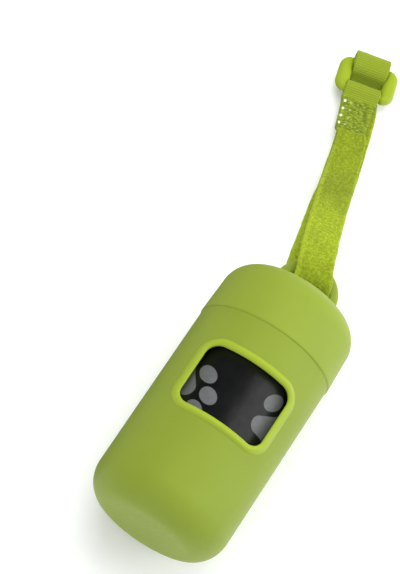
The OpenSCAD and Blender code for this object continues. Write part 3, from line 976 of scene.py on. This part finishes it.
def make_strap():
    global WELD_AT
    line = strap_route()
    pts, at = resample(line, 0.22)
    total = at[-1]

    def at_first(cond):
        return at[np.argmax(cond)]
    # where along the route the parts of interest lie
    top_bar = at_first((pts[:, 0] < BAR_S) & (pts[:, 1] > RING_Z + 1.0) & (at > 12))
    past = at > top_bar
    weld_0 = at_first(past & (pts[:, 0] < 61.6))
    weld_1 = at_first(past & (pts[:, 0] < 51.5))
    WELD_AT = at_first(past & (pts[:, 0] < 60.5))
    fold_in = at_first(past & (pts[:, 0] < 0.5))
    fold_out = at_first((at > fold_in + 8) & (pts[:, 0] > -3))
    ring_in = at_first((at > fold_out) & (pts[:, 0] > 58))
    split = at_first((at > ring_in) & (pts[:, 0] > 77.4))

    # (along, centre, half width) of the upper and of the lower layer
    upper = np.array([(-9, 0.85, 5.85), (-5, 0.50, 5.7), (-2.5, 0.02, 5.4), (2, -0.18, 5.36), (4.5, -0.19, 5.40),
                      (7, -0.22, 5.31), (11, -0.18, 5.22), (14, -0.10, 5.26), (17, -0.08, 5.25), (20, -0.01, 5.18),
                      (24, 0.18, 5.16), (27, 0.38, 5.19), (29.3, 0.55, 5.23), (32, 0.76, 5.22), (35, 0.87, 5.04),
                      (38, 0.90, 4.86), (42, 0.98, 4.68), (46.5, 1.05, 4.54), (49.8, 0.92, 4.58), (51.4, -0.04, 4.75),
                      (54, -0.19, 4.81), (57, -0.24, 4.90), (60, -0.35, 5.05), (62, -0.36, 5.42), (66, -0.34, 5.44)])
    lower = np.array([(-9, 0.0, 5.5), (-5, -0.9, 5.3), (0, -1.96, 5.18), (3, -1.83, 5.15), (8.7, -1.42, 5.18),
                      (12, -1.10, 5.21), (16, -0.69, 5.23), (22, -0.07, 5.22), (26.5, 0.26, 5.23), (29, 0.50, 5.2),
                      (31.5, 0.88, 5.15), (34, 1.22, 5.17), (37, 1.52, 5.26), (40, 1.59, 5.19), (45, 1.65, 5.1),
                      (50, 1.70, 5.08), (54, 1.58, 5.12), (58.5, 1.33, 5.14), (61, 1.12, 5.13), (63.5, 0.75, 5.07),
                      (66, 0.35, 5.0), (68.5, 0.08, 5.06), (70.5, 0.0, 5.15), (72.5, -0.05, 5.5), (80, 0.0, 5.5)])

    def course(a, s, col):
        back = smooth01(a, fold_in + 4, fold_out)
        up = np.interp(s, upper[:, 0], upper[:, col])
        return up * (1 - back) + np.interp(s, lower[:, 0], lower[:, col]) * back

    def lateral(a, p):
        return course(a, p[:, 0], 1) + 0.06 * np.sin(a * 0.21) * smooth01(a, 20, 30)

    def zones(a):
        weld = smooth01(a, weld_0 - 0.3, weld_0 + 0.5) * (1 - smooth01(a, weld_1 - 0.4, weld_1 + 0.7))
        smooth_end = 1 - smooth01(a, weld_0 - 0.6, weld_0 + 0.2)
        free_end = smooth01(a, ring_in + 4, ring_in + 8)
        ribs = np.clip(smooth_end + free_end, 0, 1)
        pile = np.clip(1 - ribs - 0.75 * weld, 0.06, 1)
        return pile, ribs * (1 - weld), weld

    def width(a):
        return 2 * course(a, np.interp(a, at, pts[:, 0]), 2) + 0.05 * np.sin(a * 0.33) + 0.06 * np.sin(a * 0.9 + 1)

    def thick(a):
        z = zones(a)
        return STRAP_T - 0.16 * z[1] - 0.22 * z[2] - 0.06

    def painted_light_tone(a, p):
        """painted light and shade along the strap: paler near the bail, deeper halfway up, and paler on the layer
        beneath where it lies in shade
        """
        s = p[:, 0]
        front = np.interp(s, [-9, -5, -1, 4, 10, 14, 17, 21, 24, 26, 28.5, 31, 34, 44, 52, 60],
                          [-0.22, -0.02, 0.16, 0.42, 0.52, 0.52, 0.34, 0.06, -0.16, -0.30, -0.38, -0.32, -0.24, -0.10,
                           -0.12, 0.05])
        # the layer beneath lies in shade under the upper one; it is painted paler to lift that shade
        under = np.interp(s, [-9, -4, 0, 20, 40, 60], [-0.3, 0.2, 0.60, 0.50, 0.1, 0.0])
        w = smooth01(a, fold_in + 4, fold_out)
        return front * (1 - w) + under * w

    i_split = int(np.argmax(at >= split))
    main, at1, p1 = ribbon("strap_strip", pts[:i_split + 1], lateral, zones, width, thick, painted_light_tone, 11)

    # the free end: from the fold behind the ring, forward again under the strap
    tail_pts = np.vstack([pts[i_split:], [(70.0, 0.55), (60.0, 0.55), (50.0, 0.55), (40.0, 0.55), (30.3, 0.55)]])
    base = at[i_split]

    def lat_tail(a, p):
        return np.interp(p[:, 0], [30, 33, 37, 41, 45, 50, 54, 58, 60, 65, 70, 80],
                         [0.75, 0.92, 1.0, 1.15, 1.31, 1.33, 1.14, 0.95, 0.80, 0.25, 0.0, 0.0]) * smooth01(a, 4, 12)

    def zones_tail(a):
        ribs = 1 - smooth01(a, 16, 22)
        return np.clip(1 - ribs, 0.06, 1), ribs, np.zeros_like(a)

    def width_tail(a):
        end = a[-1] - a
        w = 11.0 - 1.1 * smooth01(a, 3, 12) + 0.05 * np.sin((a + base) * 0.33) + 0.06 * np.sin((a + base) * 0.9 + 1)
        # the cut end has rounded corners
        return np.where(end < 2.0, w - 2 * (2.0 - np.sqrt(np.maximum(4.0 - (2.0 - end) ** 2, 0.0))) * 0.9, w)

    def thick_tail(a):
        return STRAP_T - 0.16 * zones_tail(a)[1] - 0.08

    tail, at2, p2 = ribbon("strap_free_end", tail_pts, lat_tail, zones_tail, width_tail, thick_tail,
                          lambda a, p: np.zeros_like(a), 23, offset=base)
    return main, at1[-1], tail, at2[-1]


def make_hook_patch():
    """hook tape on the free end: a thin base with rows of small hooks"""
    s0, s1 = 31.2, 56.8
    parts = [box_strip(-4.5, 4.5, s0, s1, 1.10, 1.36)]
    pitch = 0.75
    srows = np.arange(s0 + 0.5, s1 - 0.4, pitch)
    urows = np.arange(-4.2, 4.21, pitch)
    for i, s in enumerate(srows):
        for j, u in enumerate(urows):
            du = 0.0 if i % 2 else pitch / 2
            if u + du > 4.3:
                continue
            parts.append(hook(u + du, s, 1.34, 1 if (i + j) % 2 else -1))
    verts, faces, _ = join_parts(parts)
    aside = np.interp(verts[:, 1], [30, 33, 37, 41, 45, 50, 54, 58], [0.75, 0.92, 1.0, 1.15, 1.31, 1.33, 1.14, 0.95])
    ob = mesh_object("hook_tape", on_strap(verts[:, 0] + aside, verts[:, 1], verts[:, 2]), faces)
    outward(ob)
    return ob


def box_strip(u0, u1, s0, s1, z0, z1, nu=14, ns=36):
    us, ss = np.linspace(u0, u1, nu), np.linspace(s0, s1, ns)
    top = [(u, s, z1) for s in ss for u in us]
    bot = [(u, s, z0) for s in ss for u in us]
    B = len(top)
    f = []
    for i in range(ns - 1):
        for j in range(nu - 1):
            f.append((i * nu + j, i * nu + j + 1, (i + 1) * nu + j + 1, (i + 1) * nu + j))
            f.append((B + i * nu + j, B + (i + 1) * nu + j, B + (i + 1) * nu + j + 1, B + i * nu + j + 1))
    for i in range(ns - 1):
        f.append((i * nu, (i + 1) * nu, B + (i + 1) * nu, B + i * nu))
        f.append((i * nu + nu - 1, B + i * nu + nu - 1, B + (i + 1) * nu + nu - 1, (i + 1) * nu + nu - 1))
    for j in range(nu - 1):
        f.append((j, B + j, B + j + 1, j + 1))
        a = (ns - 1) * nu
        f.append((a + j, a + j + 1, B + a + j + 1, B + a + j))
    return np.array(top + bot), f


def hook(u, s, z, side):
    """one small hook: a bent square stalk"""
    path = [(0, 0), (0.0, 0.22), (0.05, 0.36), (0.16, 0.43), (0.27, 0.38), (0.30, 0.28)]
    w = 0.055
    v, f = [], []
    for k, (a, h) in enumerate(path):
        t = w * (1 - 0.1 * k)
        for du, ds in ((-t, -t), (t, -t), (t, t), (-t, t)):
            v.append((u + du, s + side * a + ds * (1 if k < 3 else 0.6), z + h + (0.0 if k < 3 else du * 0.0)))
    n = len(path)
    for i in range(n - 1):
        for j in range(4):
            k = (j + 1) % 4
            f.append((i * 4 + j, i * 4 + k, (i + 1) * 4 + k, (i + 1) * 4 + j))
    f.append((3, 2, 1, 0))
    f.append(tuple((n - 1) * 4 + j for j in range(4)))
    return np.array(v), f


def make_ring():
    """moulded ring: two bars between two rounded, slightly domed side pieces"""
    parts = []

    # plan of one side piece: large outer corners, small inner ones
    inner, outer, half = 5.02, 9.3, 6.2
    plan = []
    for cx, cy, r, a0 in ((outer - 3.5, half - 3.5, 3.5, 0), (inner + 0.9, half - 0.9, 0.9, 90),
                          (inner + 0.9, -(half - 0.9), 0.9, 180), (outer - 3.5, -(half - 3.5), 3.5, 270)):
        for q in np.linspace(a0, a0 + 90, 19):
            plan.append((cx + r * math.cos(math.radians(q)), cy + r * math.sin(math.radians(q))))
    plan = resample(np.array(plan + [plan[0]]), 0.32)[0][:-1]
    spine = np.stack([np.full(len(plan), 7.15), np.clip(plan[:, 1], -3.4, 3.4)], 1)
    levels = [math.cos(q) ** 0.9 for q in np.linspace(0, math.pi / 2, 15)]
    for side in (-1, 1):
        v, n = [], len(plan)
        for sign in (1, -1):
            for t in levels[:-1]:
                h = 1.85 * math.sqrt(max(0.0, 1 - t ** 2.5))
                q = spine + (plan - spine) * t
                v += [(side * x, y, sign * h) for x, y in q]
        rows = len(levels) - 1
        f = grid_faces(rows, n)
        f += [tuple(rows * n + i for i in face)[::-1] for face in grid_faces(rows, n)]
        # the two halves share the outline, and each is closed over its top
        for base in (0, rows * n):
            top = len(v)
            v += [(side * 7.15, y, (1 if base == 0 else -1) * 1.85) for y in spine[:, 1]]
            for j in range(n):
                k = (j + 1) % n
                ring = base + (rows - 1) * n
                f.append((ring + j, ring + k, top + k, top + j) if base == 0 else (ring + k, ring + j, top + j, top + k))
        parts.append((np.array(v), f))
    for y in (-BAR2 / 2, BAR2 / 2):
        n, K = 40, 28
        us = np.linspace(-6.6, 6.6, n)
        v = []
        for u in us:
            sw = 1.0 + 0.14 * math.exp(-((5.3 - abs(u)) / 0.6) ** 2)
            for q in np.linspace(0, 2 * math.pi, K, endpoint=False):
                v.append((u, y + 1.2 * sw * math.cos(q), 1.2 * sw * math.sin(q)))
        f = grid_faces(n, K)
        f.append(tuple(range(K))); f.append(tuple(range((n - 1) * K, n * K))[::-1])
        parts.append((np.array(v), f))
    verts, faces, _ = join_parts(parts)
    # tilt about the first bar, then into the strap's frame
    yy, zz = verts[:, 1] + BAR2 / 2, verts[:, 2]
    c, s = math.cos(TILT), math.sin(TILT)
    ss = BAR_S + yy * c + zz * s
    z2 = RING_Z - yy * s + zz * c
    ob = mesh_object("plastic_ring", on_strap(verts[:, 0], ss, z2), faces)
    merge_close(ob)
    outward(ob)
    return ob


# ---------------------------------------------------------------- stage

def make_stage():
    m, nt, b = new_material("floor")
    co = object_coords(nt)
    n = noise_node(nt, co, 3.0, 2.0, 0.5)
    nt.links.new(mix_colour(nt, map_range(nt, n, 0.3, 0.7, 0.0, 1.0), (0.93, 0.93, 0.935), (0.94, 0.94, 0.945)), b.inputs["Base Color"])
    b.inputs["Roughness"].default_value = 0.9
    b.inputs["Specular IOR Level"].default_value = 0.1
    # lit faintly from beneath, as a light table is
    b.inputs["Emission Color"].default_value = (1.0, 1.0, 1.0, 1.0)
    b.inputs["Emission Strength"].default_value = 0.10
    s, fx, fy = 3.0, -0.022, -0.083
    # the part of the floor to the left of the dispenser is kept out of its reflections
    for name, pts, quads, mirrored in (
            ("floor", [(fx, -s), (s, -s), (s, fy), (fx, fy), (s, s), (fx, s), (-s, -s), (-s, fy)],
             [(0, 1, 2, 3), (3, 2, 4, 5), (6, 0, 3, 7)], True),
            ("floor_left", [(-s, fy), (fx, fy), (fx, s), (-s, s)], [(0, 1, 2, 3)], False)):
        me = bpy.data.meshes.new(name)
        me.from_pydata([(x, y, 0.0) for x, y in pts], [], quads)
        floor = bpy.data.objects.new(name, me)
        bpy.context.scene.collection.objects.link(floor)
        floor.data.materials.append(m)
        floor.visible_glossy = mirrored

    world = bpy.data.worlds.new("studio")
    bpy.context.scene.world = world
    world.use_nodes = True
    bg = world.node_tree.nodes["Background"]
    # the room is a little darker on the left
    wt = world.node_tree
    sky = node(wt, "ShaderNodeSeparateXYZ")
    wt.links.new(node(wt, "ShaderNodeTexCoord").outputs["Generated"], sky.inputs[0])
    wt.links.new(mix_colour(wt, map_range(wt, sky.outputs[0], -1.0, 1.0, 0.0, 1.0),
                            (0.62, 0.63, 0.64), (1.24, 1.26, 1.28)), bg.inputs["Color"])
    bg.inputs["Strength"].default_value = 0.86
    world.cycles_visibility.glossy = False
    bpy.context.scene.view_settings.view_transform = "Standard"

    def area(name, place, target, size, watts, colour=(1, 1, 1), size_y=None, glossy=True, diffuse=True):
        data = bpy.data.lights.new(name, "AREA")
        data.energy = watts
        data.color = colour
        data.shape = "RECTANGLE"
        data.size, data.size_y = size, size_y or size
        ob = bpy.data.objects.new(name, data)
        bpy.context.scene.collection.objects.link(ob)
        ob.location = place
        ob.rotation_mode = "QUATERNION"
        ob.rotation_quaternion = (Vector(target) - Vector(place)).to_track_quat("-Z", "Y")
        ob.visible_glossy, ob.visible_diffuse = glossy, diffuse
        return ob
    # a soft overhead bank, a tall window light from the right, a low side light near the cap, and a
    # weak low light in front of the base
    area("overhead", (-0.08, 0.15, 0.39), (0.0, -0.02, 0.02), 0.36, 1.30, (0.99, 0.995, 1.0), 0.36, glossy=False)
    area("window", (0.327, 0.165, 0.306), (0.0, -0.04, 0.03), 0.34, 0.63, (1.0, 0.995, 0.98), 0.55, diffuse=False)
    area("window_low", (0.385, 0.165, 0.225), (0.0, -0.04, 0.03), 0.34, 0.60, (1.0, 0.995, 0.98), 0.55, glossy=False)
    area("side", (0.33, 0.21, 0.13), (0.0, 0.0, 0.03), 0.25, 0.37, (1.0, 0.995, 0.98), 0.20, glossy=False)
    area("front", (-0.19, -1.02, 0.21), (0.0, -0.06, 0.02), 0.85, 1.8, (0.99, 0.995, 1.0), 0.34)


# ---------------------------------------------------------------- build

make_camera()

LIME, LIME_DEEP = (0.226, 0.295, 0.028), (0.213, 0.281, 0.025)
MAT = {
    "shell": plastic("soft_touch_lime", LIME, LIME_DEEP),
    # the cap is the same lime painted 7 % lighter: painted light standing in for the brighter light the cap gets
    "lid_painted_lighter": plastic("soft_touch_lime_cap_painted_lighter", tuple(c * 1.07 for c in LIME), tuple(c * 1.07 for c in LIME_DEEP)),
    "trim": plastic("lip_lime", (0.304, 0.395, 0.024), (0.292, 0.383, 0.022), rough=0.44, spec=0.30, skirt=LIME),
    "ring": plastic("ring_lime", (0.285, 0.370, 0.014), (0.270, 0.355, 0.012), rough=0.40, sheen=0.03, spec=0.36),
    "film": film_material(),
    "film_edges": roll_end_material(),
    "card": cardboard_material(),
    "webbing": webbing_material(),
    "hooks": hook_material(),
}


def finish_piece(ob, mat, body, slot, *nodes):
    if mat is not None:
        ob.data.materials.append(mat)
    if nodes:
        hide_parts(*nodes)
    if body is not None:
        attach(ob, body)
    return ob


finish_piece(make_housing(), MAT["shell"], "housing", "shell", "housing")
finish_piece(make_trim(), MAT["trim"], "housing", "trim", "window_trim")
finish_piece(make_cap(), MAT["lid_painted_lighter"], "cap", "shell", "cap")
finish_piece(make_roll(), None, "roll", "film", "bag_roll")
finish_piece(make_core(), MAT["card"], "roll", "cardboard", "roll_core")
finish_piece(make_bag_end(), MAT["film"], "roll", "film", "bag_end")

strap, strap_length, tail, tail_length = make_strap()
finish_piece(strap, MAT["webbing"], "strap", "webbing", "strap_webbing")
finish_piece(make_ring(), MAT["ring"], "ring", "ring", "strap_ring")
finish_piece(make_hook_patch(), MAT["hooks"], "tail", "hooks", "hook_patch")
finish_piece(tail, MAT["webbing"], None, "webbing", "strap_tail")
tuple(float(x) for x in to_frame(on_strap(0, PEEL_S + 1.2, 0)))
tuple(float(x) for x in to_frame(on_strap(0, PEEL_S - 0.9, 0)))
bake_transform(tail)
print("strap length mm", round(float(strap_length), 1), "free end mm", round(float(tail_length), 1))

make_stage()
